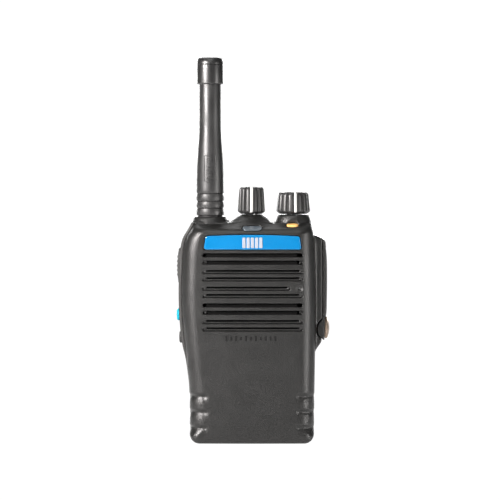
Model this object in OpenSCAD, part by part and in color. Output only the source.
// Submersible hand-held two-way radio: front case with a speaker grille, stub antenna, two rotary
// controls, three side keys, an emergency button, an accessory socket under a screwed cover, and a
// slide-off battery with a spring belt clip. Origin: centre of the flat base, +X to the radio's
// right as seen from the front, +Y to the back, +Z up. Millimetres.

/* [Body] */
// Width of the lower body between its straight sides
body_w = 61; // [60:0.5:62]
// Depth from the front face to the back of the battery
body_d = 40; // [40:0.5:42]
// Height of the brow, the front edge of the sloping top panel
brow_z = 104.8; // [104.4:0.1:105.2]
// Height of the level part of the top panel
roof_z = 108.9; // [108.6:0.1:109.2]
// Wall thickness of the mouldings
wall = 2; // [1.8:0.1:2.2]
// Radius of the upright front edges
edge_r = 7.5; // [7:0.5:8]
// Radius of the two bottom corners
corner_r = 5; // [4:0.5:6]

/* [Grille] */
// Left end of the grille slots
slot_left = -23.9; // [-24.5:0.1:-23]
// Right end of the grille slots
slot_right = 25.1; // [24:0.1:25.5]
// Height of one slot
slot_h = 1.8; // [1.4:0.1:2]
// Distance between one pair of slots and the next
slot_pair_pitch = 8.2; // [8:0.1:8.4]
// Depth of the slots that are only grooves
slot_depth = 1.2; // [0.8:0.1:1.5]

/* [Antenna] */
// Distance of the antenna's axis to the left of the middle
antenna_x = 20.35; // [20:0.05:20.5]
// Diameter of the antenna's base
antenna_d = 13.7; // [13:0.1:14]
// Diameter of the antenna's neck
neck_d = 11.05; // [10:0.05:12]
// Diameter of the cap at the tip
cap_d = 13.4; // [12.5:0.1:14]
// Height of the antenna's tip above the base
tip_z = 190; // [186:1:200]

/* [Controls] */
// Largest diameter of the volume knob
volume_d = 14.1; // [13.6:0.1:14.4]
// Distance of the channel knob's axis to the right of the middle
channel_x = 20.7; // [20.4:0.1:21]
// Largest diameter of the channel knob
channel_d = 16.8; // [16.4:0.1:17]
// Diameter of both control shafts
shaft_d = 6; // [5.8:0.1:6.2]
// Height of the push-to-talk button
ptt_h = 17.7; // [17:0.1:18]
// Height of the two function keys
key_h = 6; // [5.6:0.1:6.2]

/* [Accessory cover] */
// Height of the cover screw's axis above the base
cover_screw_z = 56.5; // [56:0.1:57]
// Diameter of the cover screw's head
screw_head_d = 10.8; // [10:0.1:11]
// Diameter of the cover screw's shank
screw_shank_d = 4; // [3.6:0.1:4.2]

/* [Battery] */
// Height of the top of the battery
battery_h = 85.4; // [85:0.1:85.6]
// Height of the belt clip's pin above the base
clip_pin_z = 70; // [69:0.5:71]
// Width of the belt clip
clip_w = 18; // [16:1:20]

/* [Hidden] */
$fn = 48;
hw = body_w / 2;
y_front = -20;
y_back = y_front + body_d;
// The joint between the front case and the rear chassis
y_split = 4.6;
seal_t = 0.6;
plate_t = 1.8;
y_plate = y_split + seal_t;
y_bay = y_plate + plate_t;
y_battery = y_bay + 0.3;
lid_t = 4;
// The axes of the antenna and both rotary controls lie in this plane
y_ctrl = -4;
y_key = -4;
slope = 30;
y_roof = y_front + (roof_z - brow_z) / tan(slope);
strip_t = 1.5;
strip_y0 = -12;
strip_y1 = 3.6;
cavity_y = y_front + wall + 0.2;
ceiling_z = brow_z - wall;
turret_z = 111.5;
knob_z = 112.7;
run_gap = 0.04;
// Left edge of the radio as [distance left of the middle, height], from the strip's foot upwards
LEFT = [[32.7, 43], [34, 48], [35.4, 59.8], [35.9, 72], [35.6, 86], [34.8, 97.2], [33.7, 101.2],
        [31.4, 105.1], [29.2, 109.1]];
// Right edge of the accessory block
block_x = 35.3;
block_y0 = -11;
socket_z0 = 66;
socket_z1 = 95;
hook_zs = [20, 60];
hook_x = 20;
boss_x = 25.2;
boss_zs = [7.5, 40, 82.5];
badge_z0 = 95.7;
badge_z1 = 102.3;
speaker_z = 76;
mic_x = 23.6;
mic_z = 76.5;
led_x = 0.4;
led_z = 106.25;
alarm_x = 20.25;
alarm_z = 107.9;
label_z0 = 128.5;
label_z1 = 141.8;
flare_z0 = 134.6;
flare_z1 = 154.3;
cap_z = 176.7;
ptt_z = 78.3;
upper_key_z = 60;
lower_key_z = 48.9;
ear_x = clip_w / 2 - 5;
pin_d = 2.5;
pin_y = y_back + 4.6;
clip_screw_zs = [52, 76];

// ---- Helpers ----

// Points along an arc in a flat outline
function arc(c, r, a0, a1, n = 6) =
    [for (i = [0:n]) let (a = a0 + (a1 - a0) * i / n) c + r * [cos(a), sin(a)]];

// A solid drawn in the front view (X, Z) and running in depth from y0 to y1
module front_prism(y0, y1) {
    translate([0, y1, 0]) rotate([90, 0, 0]) linear_extrude(y1 - y0) children();
}

// A solid drawn in the side view (Y, Z) and running across from x0 to x1
module side_prism(x0, x1) {
    translate([x0, 0, 0]) rotate([90, 0, 90]) linear_extrude(x1 - x0) children();
}

// A box given by its two opposite corners
module block(a, b) {
    translate(a) cube(b - a);
}

// A round bar along X
module bar_x(x0, x1, d, y, z) {
    translate([x0, y, z]) rotate([0, 90, 0]) cylinder(h = x1 - x0, d = d);
}

// A round bar along Y
module bar_y(y0, y1, d, x, z) {
    translate([x, y1, z]) rotate([90, 0, 0]) cylinder(h = y1 - y0, d = d);
}

// A flat outline with two round ends, w long and h wide
module stadium(w, h) {
    square([w - h, h], center = true);
    for (s = [-1, 1]) translate([s * (w - h) / 2, 0]) circle(d = h);
}

// A round-cornered rectangle from a to b
module rounded(a, b, r) {
    translate([a[0] + r, a[1]]) square([b[0] - a[0] - 2 * r, b[1] - a[1]]);
    translate([a[0], a[1] + r]) square([b[0] - a[0], b[1] - a[1] - 2 * r]);
    for (x = [a[0] + r, b[0] - r], y = [a[1] + r, b[1] - r]) translate([x, y]) circle(r);
}

// ---- Front case ----

// Outline of the case in the front view, drawn in by i all round
function case_outline(i) = concat(
    arc([-hw + corner_r, corner_r], corner_r - i, 270, 180),
    [[-hw + i, 26]],
    [for (p = LEFT) [-p[0] + strip_t + i, min(p[1], roof_z - i)]],
    [[hw - 2.2 - i, roof_z - i], [hw - i, brow_z - 2]],
    arc([hw - corner_r, corner_r], corner_r - i, 0, -90));

module case_plan(x0, x1, y0, r) {
    translate([x0, y0 + r]) square([x1 - x0, body_d]);
    translate([x0 + r, y0]) square([x1 - x0 - 2 * r, r + 1]);
    for (x = [x0 + r, x1 - r]) translate([x, y0 + r]) circle(r);
}

// The rounded plan over the case's height, wider on the left from the grip up, drawn in by i
module case_plans(i) {
    for (span = [[-1, 44, -hw], [43, 123, -34.4]])
        translate([0, 0, span[0]]) linear_extrude(span[1] - span[0])
            case_plan(span[2] + i, hw - i, y_front + i, edge_r - i);
}

module case_block() {
    intersection() {
        front_prism(y_front, y_split) polygon(case_outline(0));
        case_plans(0);
        side_prism(-50, 50) polygon([[y_front, -1], [y_front, brow_z], [y_roof, roof_z],
                                     [y_split, roof_z], [y_split, -1]]);
    }
}

module accessory_block() {
    difference() {
        front_prism(block_y0, y_split)
            polygon([[hw - 1, 43.5], [hw + 0.2, 43.5], [34, 49.8], [block_x, 52],
                     [block_x, 97.5], [34.3, 101.2], [hw, 102.3], [hw - 1, 102.3]]);
        bar_y(block_y0 - 1, y_split + 1, 9, 36.3, 55.7);
        block([32, -8.5, socket_z0], [block_x + 1, 2.5, socket_z1]);
        block([31.7, block_y0 - 1, cover_screw_z], [block_x + 1, y_split + 1, 61.5]);
    }
}

// Heights of the slots' upper edges
function slot_top(i) = 93.85 - slot_pair_pitch * floor(i / 2) - 3.6 * (i % 2);

module grille_slots() {
    for (i = [0:9]) {
        deep = i == 0 || i == 1 || i == 6 || i == 7;
        right = i == 4 ? slot_right - 6 : slot_right;
        front_prism(y_front - 1, deep ? cavity_y + 1 : y_front + slot_depth)
            rounded([slot_left, slot_top(i) - slot_h], [right, slot_top(i)], 0.5);
    }
}

// Scoops across the lower front edges, three on each side
module grip_scoops() {
    for (s = [-1, 1], z = [7.5, 15.3, 22.9])
        translate([s * (hw - edge_r), y_front + edge_r, z]) rotate([0, 0, s * 45])
            translate([0, -edge_r - 2.2, 0]) rotate([0, 90, 0]) cylinder(r = 3, h = 20, center = true);
}

module turrets() {
    translate([-antenna_x, y_ctrl, ceiling_z]) cylinder(r = 7.6, h = turret_z - ceiling_z);
    translate([0, y_ctrl, ceiling_z]) cylinder(r = 8.55, h = 110.7 - ceiling_z);
    translate([0, y_ctrl, 110.7]) cylinder(r1 = 8.55, r2 = 6.5, h = 1.3);
    translate([channel_x - 0.15, y_ctrl, ceiling_z]) cylinder(r = 8.35, h = turret_z - ceiling_z);
}

// Places something on the sloping top panel, at height z measured on the slope
module on_slope(x, z) {
    translate([x, y_front + (z - brow_z) / tan(slope), z]) rotate([slope, 0, 0]) children();
}

module case_bosses() {
    for (s = [-1, 1], z = boss_zs) bar_y(cavity_y - 0.2, y_split, 5.2, s * boss_x, z);
    bar_x(24, hw - 1, 9, y_key, cover_screw_z);
}

module key_windows(g) {
    block([-40, -9.5 - g, ptt_z - g], [-31, 1.5 + g, ptt_z + ptt_h + g]);
    for (z = [upper_key_z, lower_key_z])
        side_prism(-40, -29) translate([y_key, z + key_h / 2]) stadium(8 + 2 * g, key_h + 2 * g);
}

module front_case() {
    color([0.2, 0.2, 0.2]) difference() {
        union() {
            difference() {
                union() {
                    case_block();
                    accessory_block();
                    turrets();
                }
                intersection() {
                    front_prism(cavity_y, y_split + 1) polygon(case_outline(wall));
                    case_plans(wall);
                    block([-50, -30, 0], [50, 20, ceiling_z]);
                }
            }
            case_bosses();
        }
        grille_slots();
        grip_scoops();
        key_windows(0.3);
        front_prism(y_front - 1, y_front + 0.6) badge_outline(0.1);
        on_slope(led_x, led_z) translate([0, 0, -1]) linear_extrude(3) stadium(9.8, 4);
        on_slope(alarm_x, alarm_z) translate([0, 0, -1.6]) linear_extrude(4) stadium(6.4, 4);
        on_slope(alarm_x, alarm_z) translate([0, 0, -9]) cylinder(d = 2.4, h = 10);
        bar_y(y_front - 1, cavity_y + 1, 2.2, mic_x, mic_z);
        translate([-antenna_x, y_ctrl, 90]) cylinder(d = 9, h = 30);
        for (x = [0, channel_x]) translate([x, y_ctrl, 90]) cylinder(d = shaft_d + 1.6, h = 30);
        bar_x(25, 40, 6, y_key, cover_screw_z);
        for (s = [-1, 1], z = boss_zs) bar_y(-3, y_split + 1, 2.2, s * boss_x, z);
    }
}

module badge_outline(g) {
    intersection() {
        polygon([[-23.3 - g, badge_z0 - g], [24.5 + g, badge_z0 - g], [23.6 + g, 103], [-22.2 - g, 103]]);
        translate([0.6, badge_z1 - 470 + 0.6 + g]) circle(470, $fn = 720);
    }
}

module name_badge() {
    color([0.02, 0.55, 0.88]) front_prism(y_front - 0.1, y_front + 0.6) badge_outline(0);
}

// A plain row of bars on the badge
module badge_emblem() {
    color([0.75, 0.78, 0.82])
        for (i = [0:4]) block([-4.4 + i * 2.1, y_front - 0.3, 98.4 - i * 0.5],
                              [-3 + i * 2.1, y_front - 0.1, 99.6 + i * 0.5]);
}

module speaker_mesh() {
    color([0.1, 0.1, 0.1]) difference() {
        block([-22.4, cavity_y, 54.5], [22.4, cavity_y + 0.4, 94.5]);
        bar_y(cavity_y - 1, cavity_y + 1, 4.6, mic_x, mic_z);
    }
}

module led_window() {
    color([0.42, 0.48, 0.5]) on_slope(led_x, led_z) translate([0, 0, -1]) linear_extrude(1)
        stadium(9.6, 3.8);
}

// ---- Rear chassis and seal ----

module outline_ring(a, b) {
    difference() {
        polygon(case_outline(a));
        polygon(case_outline(b));
    }
}

module main_seal() {
    color([0.12, 0.12, 0.12]) front_prism(y_split, y_plate) outline_ring(0.4, 1.6);
}

module chassis_block() {
    x0 = -28.5;
    x1 = 28;
    r = 6;
    translate([0, 0, 86]) linear_extrude(22.2) {
        translate([x0, y_plate]) square([x1 - x0, y_back - 0.6 - r - y_plate]);
        translate([x0 + r, y_plate]) square([x1 - x0 - 2 * r, y_back - 0.6 - y_plate]);
        for (x = [x0 + r, x1 - r]) translate([x, y_back - 0.6 - r]) circle(r);
    }
}

module battery_hook(x, z) {
    block([x - 1, y_bay - 0.1, z], [x + 1, y_bay + 2, z + 8]);
    block([x - 2.5, y_bay + 1.9, z], [x + 2.5, y_bay + 3.1, z + 8]);
}

module rear_chassis() {
    color([0.17, 0.17, 0.17]) difference() {
        union() {
            front_prism(y_plate, y_bay) polygon(case_outline(0));
            chassis_block();
            for (s = [-1, 1], z = hook_zs) battery_hook(s * hook_x, z);
        }
        // slot for the battery's tongue, pocket of the latch and the bore of its spring
        block([-5.5, 11.8, 85], [5.5, 15.2, 91.5]);
        block([-6.3, 13.7, 90.6], [6.3, y_back + 1, 97.4]);
        block([-4.3, 9.2, 85], [4.3, 15.3, 97.4]);
        bar_y(y_bay - 1.2, 9.3, 4.4, 0, 94);
        for (s = [-1, 1], z = boss_zs) {
            bar_y(y_plate - 1, y_bay + 1, 2.2, s * boss_x, z);
            bar_y(y_bay - 1.3, y_bay + 1, 4.6, s * boss_x, z);
        }
        for (i = [-1:1]) bar_y(y_plate - 1, y_bay + 1, 1.6, i * 6, 76);
    }
}

module case_screws() {
    color([0.6, 0.6, 0.6]) for (s = [-1, 1], z = boss_zs) {
        bar_y(-2.5, y_bay - 1.3, 2.2, s * boss_x, z);
        difference() {
            bar_y(y_bay - 1.3, y_bay - 0.1, 4.4, s * boss_x, z);
            bar_y(y_bay - 0.7, y_bay + 1, 1.6, s * boss_x, z);
        }
    }
}

module battery_terminals() {
    color([0.85, 0.7, 0.3]) for (i = [-1:1]) bar_y(y_plate - 0.2, y_battery - 0.1, 1.6, i * 6, 76);
}

// Coils as separate rings, from y0 to y1, drawn at the length they have when pressed
module ring_spring_y(x, z, y0, y1, d, wire, n) {
    for (i = [0:n - 1])
        translate([x, y0 + wire / 2 + (y1 - y0 - wire) * i / (n - 1), z]) rotate([90, 0, 0])
            rotate_extrude() translate([(d - wire) / 2, 0]) circle(d = wire, $fn = 16);
}

module latch_spring() {
    color([0.7, 0.7, 0.72]) ring_spring_y(0, 94, y_bay - 1.1, 9.3, 3.8, 0.5, 4);
}

module battery_latch() {
    color([0.15, 0.15, 0.15]) {
        block([-6, 15.5, 91], [6, y_back - 0.6, 97]);
        block([-4, 10.9, 92], [4, 15.5, 96.8]);
        block([-4, 10.9, 87.2], [4, 12.3, 92]);
    }
}

// ---- Inside ----

module speaker_frame() {
    color([0.35, 0.35, 0.36]) translate([0, cavity_y + 0.5, speaker_z]) rotate([-90, 0, 0])
        rotate_extrude() polygon([[16.5, 0], [18.5, 0], [18.5, 1.6], [9.5, 5], [9.5, 6.2], [7, 6.2],
                                  [7, 4], [8.4, 4], [16.5, 1.2]]);
}

module speaker_cone() {
    color([0.1, 0.1, 0.1]) translate([0, cavity_y + 0.5, speaker_z]) rotate([-90, 0, 0])
        rotate_extrude() polygon([[0, 1.6], [5, 2.2], [8, 3], [15, 0.4], [16.4, 0.4], [16.4, 0.8],
                                  [15, 0.8], [8, 3.5], [5, 2.7], [0, 2.1]]);
}

module speaker_magnet() {
    color([0.45, 0.45, 0.47]) bar_y(cavity_y + 6.7, cavity_y + 10.2, 19, 0, speaker_z);
}

module microphone() {
    color([0.6, 0.6, 0.6]) bar_y(cavity_y + 0.6, cavity_y + 3.1, 4, mic_x, mic_z);
}

module main_board() {
    color([0.05, 0.3, 0.15]) difference() {
        block([-21.5, -6.4, 6], [21.5, -5.2, 92]);
        for (s = [-1, 1], z = [10, 88]) bar_y(-7, -5, 2.4, s * 18, z);
    }
}

module shield_cans() {
    color([0.72, 0.73, 0.75]) {
        block([-18, -5.2, 14], [-1, -2.2, 44]);
        block([2, -5.2, 14], [18, -2.2, 34]);
        block([-18, -5.2, 50], [4, -2.2, 84]);
        block([-12, -9, 16], [12, -6.4, 44]);
    }
}

// Rotary control: a boxed body under the ceiling and a round bush up to the turret's top
module rotary_control(x, w, top) {
    difference() {
        union() {
            block([x - w / 2, y_ctrl - 4.4, 95], [x + w / 2, y_ctrl + w / 2, ceiling_z]);
            translate([x, y_ctrl, ceiling_z]) cylinder(d = shaft_d + 1.6, h = top - ceiling_z);
        }
        translate([x, y_ctrl, 96]) cylinder(d = shaft_d + 2 * run_gap, h = 30);
    }
}

module volume_control() {
    color([0.55, 0.56, 0.58]) rotary_control(0, 12, 112);
}

module channel_selector() {
    color([0.55, 0.56, 0.58]) rotary_control(channel_x, 13, turret_z);
}

module antenna_bush() {
    color([0.8, 0.65, 0.3]) translate([-antenna_x, y_ctrl, 0]) difference() {
        union() {
            translate([0, 0, 99]) cylinder(d = 12, h = ceiling_z - 99);
            translate([0, 0, ceiling_z]) cylinder(d = 9, h = turret_z - ceiling_z);
        }
        translate([0, 0, 100]) cylinder(d = 6 + 2 * run_gap, h = 30);
    }
}

module side_switches() {
    color([0.05, 0.3, 0.15]) block([-28.9, -9, 50], [-28.1, 1, 94]);
    color([0.8, 0.8, 0.8]) for (z = [87.1, 63, 53]) block([-30, -6, z - 2], [-28.9, -2, z + 2]);
}

module emergency_switch() {
    color([0.8, 0.8, 0.8]) on_slope(alarm_x, alarm_z) translate([-2, -1.2, -8.6])
        cube([4, 2.4, 1.4]);
}

module accessory_socket() {
    color([0.1, 0.1, 0.1]) difference() {
        block([32, -8.5, socket_z0], [33.4, 2.5, socket_z1]);
        for (i = [0:6], y = [-5.5, -0.5]) bar_x(31, 36, 1.8, y, 70 + i * 3.5);
    }
}

module socket_contacts() {
    color([0.85, 0.7, 0.3]) for (i = [0:6], y = [-5.5, -0.5]) bar_x(32, 33.2, 1.8, y, 70 + i * 3.5);
}

module screw_insert() {
    color([0.8, 0.65, 0.3]) difference() {
        bar_x(25, 31.7, 6, y_key, cover_screw_z);
        bar_x(26, 40, screw_shank_d + 2 * run_gap, y_key, cover_screw_z);
    }
}

// ---- Side keys ----

module side_key_strip() {
    n = len(LEFT) - 1;
    color([0.16, 0.16, 0.16]) difference() {
        front_prism(strip_y0, strip_y1)
            polygon(concat([for (i = [0:n - 1]) [-LEFT[i][0], LEFT[i][1]]],
                           [for (i = [n - 1:-1:0]) [-LEFT[i][0] + strip_t, LEFT[i][1]]]));
        key_windows(0.3);
    }
}

module key_bulge(x, z, r) {
    translate([x + r, y_key, z]) rotate([90, 0, 0]) cylinder(r = r, h = 20, center = true, $fn = 180);
}

module ptt_button() {
    color([0.13, 0.13, 0.13]) {
        intersection() {
            block([-37, -9.5, ptt_z], [-32.6, 1.5, ptt_z + ptt_h]);
            key_bulge(-36.9, 86.5, 60);
        }
        bar_x(-32.6, -31.2, 4, y_key, 87.1);
    }
}

module side_key(x_out, x_in, z) {
    intersection() {
        side_prism(x_out, x_in) translate([y_key, z + key_h / 2]) stadium(8, key_h);
        key_bulge(x_out, z + key_h / 2, 9);
    }
}

module upper_key() {
    color([0.2, 0.8, 0.9]) {
        side_key(-37, -33, upper_key_z);
        bar_x(-33, -30.9, 3, y_key, upper_key_z + key_h / 2);
    }
}

module lower_key() {
    color([0.13, 0.13, 0.13]) {
        side_key(-35.8, -31.8, lower_key_z);
        bar_x(-31.8, -30.9, 3, y_key, lower_key_z + key_h / 2);
    }
}

module emergency_button() {
    color([0.95, 0.6, 0.25]) on_slope(alarm_x, alarm_z) {
        translate([0, 0, -0.7]) linear_extrude(1) stadium(5.9, 3.5);
        translate([0, 0, -6.3]) cylinder(d = 2.24, h = 5.8);
    }
}

// ---- Knobs ----

module knob_envelope(r_top, r_low, r_foot, h) {
    rotate_extrude() polygon([[0, 0], [r_foot, 0], [r_low, 1.3], [r_top, h - 0.7],
                              [r_top - 0.6, h], [0, h]]);
}

module pointer_zone(r_in, w, h) {
    block([-w / 2, -20, 1.3], [w / 2, -r_in, h + 1]);
}

module knob(x, r_top, r_low, r_foot, h, n, w, turn) {
    translate([x, y_ctrl, knob_z]) rotate([0, 0, turn]) difference() {
        knob_envelope(r_top, r_low, r_foot, h);
        pointer_zone(r_top - 0.9, w, h);
        for (i = [0:n - 1]) rotate([0, 0, 360 * i / n]) translate([0, -r_low - 1.5, 1.3])
            rotate([-atan((r_low - r_top) / (h - 2)), 0, 0]) translate([0, 0, -4]) cylinder(r = 2.1, h = h + 8);
        translate([0, 0, -1]) cylinder(d = shaft_d, h = h - 1.2);
    }
}

module pointer(x, r_top, r_low, r_foot, h, w, turn) {
    translate([x, y_ctrl, knob_z]) rotate([0, 0, turn]) intersection() {
        knob_envelope(r_top, r_low, r_foot, h);
        pointer_zone(r_top - 0.9, w, h);
    }
}

module volume_knob() {
    color([0.14, 0.14, 0.14]) knob(0, 6.3, volume_d / 2, 5.25, 13.3, 12, 1.2, 0);
}

module volume_pointer() {
    color([0.95, 0.95, 0.95]) pointer(0, 6.3, volume_d / 2, 5.25, 13.3, 1.2, 0);
}

module volume_shaft() {
    color([0.6, 0.6, 0.62]) translate([0, y_ctrl, 97]) cylinder(d = shaft_d, h = knob_z + 11.1 - 97);
}

module channel_knob() {
    color([0.14, 0.14, 0.14]) knob(channel_x, 7.5, channel_d / 2, 7.65, 10.7, 12, 1, 7);
}

module channel_pointer() {
    color([0.95, 0.95, 0.95]) pointer(channel_x, 7.5, channel_d / 2, 7.65, 10.7, 1, 7);
}

module channel_shaft() {
    color([0.6, 0.6, 0.62]) translate([channel_x, y_ctrl, 97])
        cylinder(d = shaft_d, h = knob_z + 8.5 - 97);
}

// ---- Antenna ----

function whip_r(z) = z < flare_z0 ? antenna_d / 2
    : antenna_d / 2 + (neck_d - antenna_d) / 2 * (z - flare_z0) / (flare_z1 - flare_z0);

module on_antenna() {
    translate([-antenna_x, y_ctrl, 0]) rotate_extrude() children();
}

module antenna_seal() {
    color([0.12, 0.12, 0.12]) on_antenna() translate([3.2, turret_z]) square([2.8, 0.5]);
}

module antenna_whip() {
    base_r = antenna_d / 2;
    color([0.15, 0.15, 0.15]) on_antenna() difference() {
        polygon([[0, turret_z + 0.5], [base_r - 0.7, turret_z + 0.5], [base_r, turret_z + 1.2],
                 [base_r, flare_z0], [neck_d / 2, flare_z1], [neck_d / 2, cap_z], [4.5, cap_z],
                 [4.5, cap_z + 5], [0, cap_z + 5]]);
        translate([0, turret_z]) square([3, 7]);
        translate([0, 121]) square([3.4, 50]);
        for (z = [115.7, 119.1, 122.8]) translate([base_r - 0.3, z - 0.25]) square([1, 0.5]);
    }
}

module antenna_cap() {
    r = cap_d / 2;
    color([0.1, 0.1, 0.1]) on_antenna() difference() {
        polygon([[0, cap_z], [r - 0.6, cap_z], [r, cap_z + 0.6], [r, tip_z - 1.6],
                 [r - 0.5, tip_z - 0.7], [r - 1.6, tip_z - 0.1], [0, tip_z]]);
        translate([0, cap_z - 1]) square([4.5, 6]);
        translate([r - 0.25, tip_z - 3.6]) square([1, 0.4]);
    }
}

module antenna_stud() {
    color([0.8, 0.65, 0.3]) translate([-antenna_x, y_ctrl, 102]) cylinder(d = 6, h = turret_z + 7 - 102);
}

// The winding is drawn as turns lying side by side, as separate rings
module antenna_coil() {
    color([0.7, 0.45, 0.25]) for (i = [0:15]) translate([0, 0, 122 + i * 3.1])
        on_antenna() translate([2.8, 0]) circle(d = 1, $fn = 16);
}

module antenna_label() {
    z0 = label_z0;
    z1 = label_z1;
    color([0.2, 0.2, 0.2]) intersection() {
        on_antenna() polygon([[whip_r(z0), z0], [whip_r(z0) + 0.2, z0], [whip_r(flare_z0) + 0.2, flare_z0],
                              [whip_r(z1) + 0.2, z1], [whip_r(z1), z1], [whip_r(flare_z0), flare_z0]]);
        block([-antenna_x - 3.3, -20, z0], [-antenna_x + 3.3, y_ctrl, z1]);
    }
}

// ---- Accessory cover ----

module connector_cover() {
    color([0.16, 0.16, 0.16]) difference() {
        union() {
            front_prism(block_y0, y_split)
                polygon([[block_x, 61.8], [block_x, 98], [35.1, 100.6], [36.2, 99.7], [36.8, 95.3],
                         [37.3, 80.5], [37.2, 70.7], [36.9, 62.6], [36, 61.8]]);
            intersection() {
                bar_y(y_key - 5, y_key + 5, 8.2, 36.3, 55.7);
                block([30, -20, 50], [36, 20, 58]);
            }
            block([32.4, y_key - 5, 56.8], [36, y_key + 5, 61.2]);
            block([block_x, y_key - 5, 61], [36, y_key + 5, 62]);
        }
        block([block_x - 0.1, -7.9, socket_z0 + 0.6], [36, 1.9, socket_z1 - 0.6]);
        bar_x(30, 40, screw_shank_d + 2 * run_gap, y_key, cover_screw_z);
    }
}

module cover_gasket() {
    color([0.3, 0.3, 0.3]) side_prism(34.6, 35.9) difference() {
        rounded([-7.9, socket_z0 + 0.6], [1.9, socket_z1 - 0.6], 2);
        rounded([-6.7, socket_z0 + 1.8], [0.7, socket_z1 - 1.8], 1);
    }
}

module cover_screw() {
    r = screw_head_d / 2;
    color([0.6, 0.52, 0.45]) translate([0, y_key, cover_screw_z]) rotate([0, 90, 0]) difference() {
        rotate_extrude() polygon([[0, 27], [screw_shank_d / 2, 27], [screw_shank_d / 2, 36], [r - 0.3, 36],
                                  [r, 36.3], [r, 37.9], [r - 0.8, 38.5], [0, 38.6]]);
        translate([-r - 1, -0.6, 37.9]) cube([2 * r + 2, 1.2, 2]);
        for (i = [0:23]) rotate([0, 0, 15 * i]) translate([r + 0.25, 0, 35]) cylinder(r = 0.5, h = 5);
    }
}

// ---- Battery and belt clip ----

module battery_outline() {
    polygon(concat(arc([-hw + corner_r, corner_r], corner_r, 270, 180),
                   [[-hw, battery_h], [hw, battery_h]],
                   arc([hw - corner_r, corner_r], corner_r, 0, -90)));
}

module battery_case() {
    r = 7;
    color([0.15, 0.15, 0.15]) {
        difference() {
            intersection() {
                front_prism(y_battery, y_back) battery_outline();
                linear_extrude(battery_h) {
                    translate([-hw, y_battery]) square([body_w, body_d - r - (y_battery - y_front)]);
                    translate([-hw + r, y_battery]) square([body_w - 2 * r, y_back - y_battery]);
                    for (s = [-1, 1]) translate([s * (hw - r), y_back - r]) circle(r);
                }
            }
            block([-28.4, y_battery - 1, 3], [28.4, y_battery + lid_t, 83]);
            block([-27, y_battery, 4], [27, y_back - wall, 82]);
            for (s = [-1, 1]) bar_y(y_back - 0.8, y_back + 1, 4.2, s * 7, 8);
            for (s = [-1, 1], z = clip_screw_zs) bar_y(y_back - 1.9, y_back + 1, 1.6, s * 7, z);
        }
        block([-5, 12.6, battery_h], [5, 14.6, 90.5]);
    }
}

module battery_lid() {
    y0 = y_battery;
    color([0.13, 0.13, 0.13]) difference() {
        block([-28.4, y0, 3], [28.4, y0 + lid_t, 83]);
        for (s = [-1, 1], z = hook_zs) translate([s * hook_x, 0, z]) {
            block([-1.3, y0 - 1, -0.4], [1.3, y0 + 3.2, 21]);
            block([-2.8, y0 + 1.3, -0.4], [2.8, y0 + 3.2, 21]);
            block([-2.8, y0 - 1, 8.5], [2.8, y0 + 3.2, 21]);
        }
        for (i = [-1:1]) block([i * 6 - 1.8, y0 - 1, 72], [i * 6 + 1.8, y0 + 0.8, 80]);
    }
}

module battery_pads() {
    color([0.85, 0.7, 0.3])
        for (i = [-1:1]) block([i * 6 - 1.8, y_battery, 72], [i * 6 + 1.8, y_battery + 0.8, 80]);
}

module battery_cells() {
    color([0.3, 0.4, 0.6]) for (s = [-1, 1])
        block([s * 13.4 - 12.6, y_battery + lid_t + 0.2, 6], [s * 13.4 + 12.6, y_back - wall - 0.2, 80]);
}

module charge_contacts() {
    color([0.85, 0.7, 0.3]) for (s = [-1, 1]) bar_y(y_back - 0.8, y_back - 0.4, 4.2, s * 7, 8);
}

module clip_bracket() {
    color([0.14, 0.14, 0.14]) difference() {
        union() {
            block([-10, y_back, 48], [10, y_back + 1.6, 80]);
            for (s = [-1, 1]) {
                block([s * ear_x - 1.2, y_back + 1.5, clip_pin_z - 3], [s * ear_x + 1.2, pin_y, clip_pin_z + 3]);
                bar_x(s * ear_x - 1.2, s * ear_x + 1.2, 6, pin_y, clip_pin_z);
            }
        }
        bar_x(-20, 20, pin_d, pin_y, clip_pin_z);
        for (s = [-1, 1], z = clip_screw_zs) {
            bar_y(y_back - 1, y_back + 3, 1.6, s * 7, z);
            bar_y(y_back + 0.8, y_back + 3, 3.4, s * 7, z);
        }
    }
}

module clip_screws() {
    color([0.6, 0.6, 0.6]) for (s = [-1, 1], z = clip_screw_zs) {
        bar_y(y_back - 1.9, y_back + 0.8, 1.6, s * 7, z);
        difference() {
            bar_y(y_back + 0.8, y_back + 1.6, 3.4, s * 7, z);
            bar_y(y_back + 1.1, y_back + 3, 1.4, s * 7, z);
        }
    }
}

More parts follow.
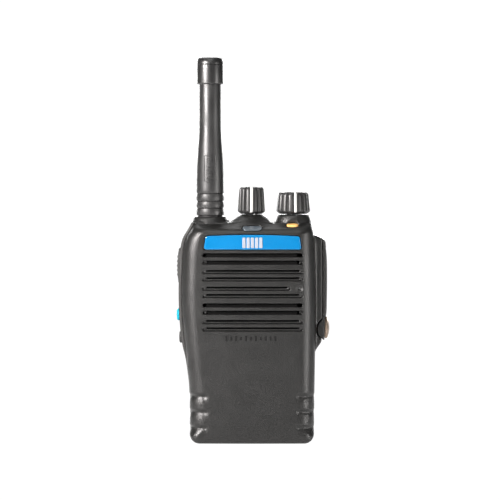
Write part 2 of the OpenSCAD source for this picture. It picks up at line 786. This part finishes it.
module clip_pin() {
    color([0.7, 0.7, 0.72]) bar_x(-clip_w / 2 + 0.4, clip_w / 2 - 0.4, pin_d, pin_y, clip_pin_z);
}

module clip_spring() {
    color([0.7, 0.7, 0.72]) for (i = [0:4]) translate([-1.6 + i * 0.8, pin_y, clip_pin_z])
        rotate([0, 90, 0]) rotate_extrude() translate([1.75, 0]) circle(d = 0.7, $fn = 16);
}

module belt_clip() {
    y0 = y_back + 8;
    color([0.13, 0.13, 0.13]) difference() {
        union() {
            side_prism(-clip_w / 2, clip_w / 2)
                polygon([[y0, 88], [y0 + 2, 88], [y0 + 2.4, 50], [y0 + 2, 22], [y0 - 1, 11],
                         [y0 - 5.2, 10], [y0 - 6, 12], [y0 - 2.6, 14.6], [y0, 24]]);
            for (s = [-1, 1]) {
                block([s * (clip_w / 2 - 1.5) - 1.5, pin_y, clip_pin_z - 3],
                      [s * (clip_w / 2 - 1.5) + 1.5, y0 + 0.5, clip_pin_z + 3]);
                bar_x(s * (clip_w / 2 - 1.5) - 1.5, s * (clip_w / 2 - 1.5) + 1.5, 6, pin_y, clip_pin_z);
            }
        }
        bar_x(-20, 20, pin_d + 2 * run_gap, pin_y, clip_pin_z);
    }
}

front_case();
main_seal();
rear_chassis();
name_badge();
badge_emblem();
speaker_mesh();
speaker_frame();
speaker_cone();
speaker_magnet();
microphone();
led_window();
main_board();
shield_cans();
volume_control();
channel_selector();
antenna_bush();
side_key_strip();
side_switches();
emergency_switch();
accessory_socket();
socket_contacts();
screw_insert();
case_screws();
battery_terminals();
latch_spring();
ptt_button();
upper_key();
lower_key();
emergency_button();
volume_knob();
volume_shaft();
volume_pointer();
channel_knob();
channel_shaft();
channel_pointer();
antenna_seal();
antenna_whip();
antenna_cap();
antenna_stud();
antenna_coil();
antenna_label();
connector_cover();
cover_gasket();
cover_screw();
battery_case();
battery_lid();
battery_cells();
battery_pads();
charge_contacts();
clip_bracket();
clip_screws();
clip_pin();
clip_spring();
battery_latch();
belt_clip();
